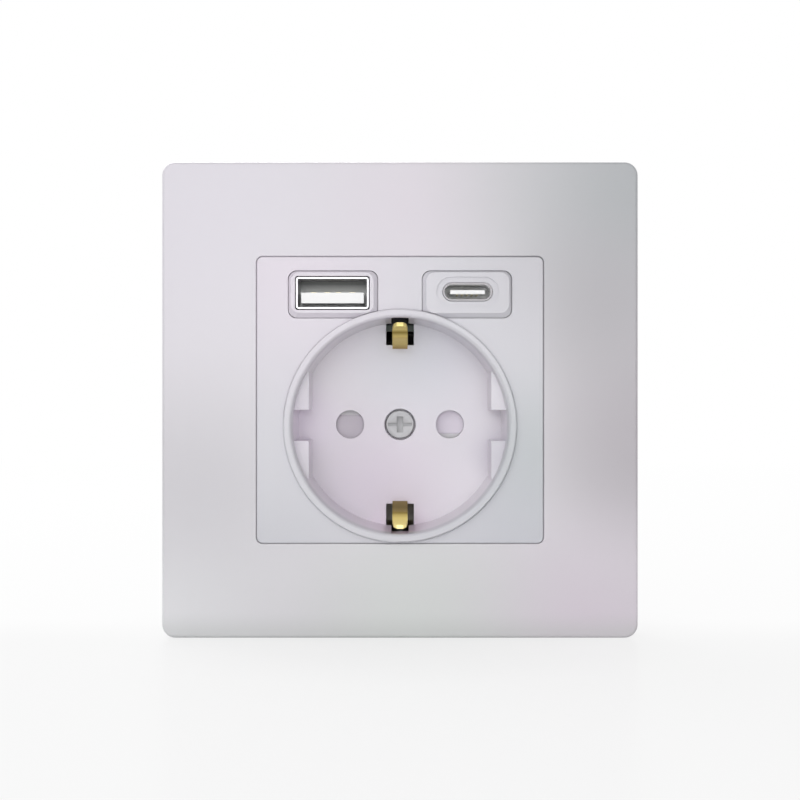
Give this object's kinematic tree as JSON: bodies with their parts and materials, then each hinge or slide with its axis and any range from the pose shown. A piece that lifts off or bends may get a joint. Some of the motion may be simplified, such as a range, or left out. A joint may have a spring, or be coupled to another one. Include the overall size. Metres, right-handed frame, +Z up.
{
  "type": "usb wall socket",
  "caption": "Square flush wall socket: round recessed two-pin outlet with side earth clips below two USB ports, on a steel plate with spreading claws and a closed housing.",
  "frame": {"origin": "centre of the cover frame on the wall's surface, midway between the two box screws", "axes": "+Y into the wall, +Z up, +X to the right when the front is looked at"},
  "size_m": [0.086, 0.04, 0.086],
  "materials": {
    "frame_plastic": "pearl white, satin",
    "housing_plastic": "moulded, light grey",
    "shutter_plastic": "moulded, white",
    "white_insulator": "moulded, white",
    "zinc_plated_steel": "zinc plated sheet",
    "port_steel": "nickel plated sheet",
    "contact_brass": "stamped brass",
    "gold_contact": "gold plated",
    "screw_zinc": "zinc plated",
    "spring_steel": "drawn wire",
    "circuit_board": "solder mask",
    "transformer_black": "moulded, black",
    "capacitor_sleeve": "shrunk sleeve"
  },
  "bodies": {
    "root": {"cover_frame": "frame_plastic", "centre_plate": "frame_plastic", "support_plate": "zinc_plated_steel", "housing": "housing_plastic", "rear_cover": "housing_plastic", "usb_bezel": "frame_plastic", "usb_a_shell": "port_steel", "usb_a_tongue": "white_insulator", "usb_a_contacts": "gold_contact", "usb_c_shell": "port_steel", "usb_c_tongue": "white_insulator", "usb_c_contacts": "gold_contact", "usb_board": "circuit_board", "power_board": "circuit_board", "transformer": "transformer_black", "capacitors": "capacitor_sleeve", "controller_chip": "transformer_black", "board_link": "transformer_black", "shutter_cap": "shutter_plastic", "shutter_spring": "spring_steel", "contact_block": "housing_plastic", "live_contact": "contact_brass", "neutral_contact": "contact_brass", "live_terminal": "contact_brass", "neutral_terminal": "contact_brass", "earth_terminal": "contact_brass", "earth_bow": "contact_brass", "earth_bush": "contact_brass", "centre_screw": "screw_zinc", "plate_screws": "screw_zinc", "cover_screws": "screw_zinc"},
    "shutter": {"shutter": "shutter_plastic"},
    "live_screw": {"live_screw": "screw_zinc"},
    "neutral_screw": {"neutral_screw": "screw_zinc"},
    "earth_screw": {"earth_screw": "screw_zinc"},
    "left_claw": {"left_claw": "zinc_plated_steel"},
    "left_claw_screw": {"left_claw_screw": "screw_zinc"},
    "right_claw": {"right_claw": "zinc_plated_steel"},
    "right_claw_screw": {"right_claw_screw": "screw_zinc"}
  },
  "joints": [
    {"name": "shutter_turn", "type": "hinge", "parent": "root", "child": "shutter", "pos_m": [0, 0.0109, -0.00465], "axis": [0, -1, 0], "range_deg": [0, 38], "stiffness_Nm_per_rad": 0.002, "springref_deg": -28.65},
    {"name": "live_clamp", "type": "slide", "parent": "root", "child": "live_screw", "axis": [1, 0, 0], "range_m": [0, 0.0024]},
    {"name": "neutral_clamp", "type": "slide", "parent": "root", "child": "neutral_screw", "axis": [-1, 0, 0], "range_m": [0, 0.0024]},
    {"name": "earth_clamp", "type": "slide", "parent": "root", "child": "earth_screw", "axis": [0, 0, 1], "range_m": [0, 0.0024]},
    {"name": "left_claw_screw_turn", "type": "hinge", "parent": "root", "child": "left_claw_screw", "pos_m": [-0.0253, 0.002, 0.008], "axis": [0, 1, 0], "range_deg": [0, 1440]},
    {"name": "right_claw_screw_turn", "type": "hinge", "parent": "root", "child": "right_claw_screw", "pos_m": [0.0253, 0.002, 0.008], "axis": [0, 1, 0], "range_deg": [0, 1440]},
    {"name": "left_claw_spread", "type": "hinge", "parent": "root", "child": "left_claw", "pos_m": [-0.0253, 0.006, 0.008], "axis": [0, 0, 1], "range_deg": [0, 20]},
    {"name": "right_claw_spread", "type": "hinge", "parent": "root", "child": "right_claw", "pos_m": [0.0253, 0.006, 0.008], "axis": [0, 0, -1], "range_deg": [0, 20]}
  ],
  "couplings": [
    {"joint": "left_claw_spread", "follows": "left_claw_screw_turn", "ratio": 0.013889},
    {"joint": "right_claw_spread", "follows": "right_claw_screw_turn", "ratio": 0.013889}
  ]
}
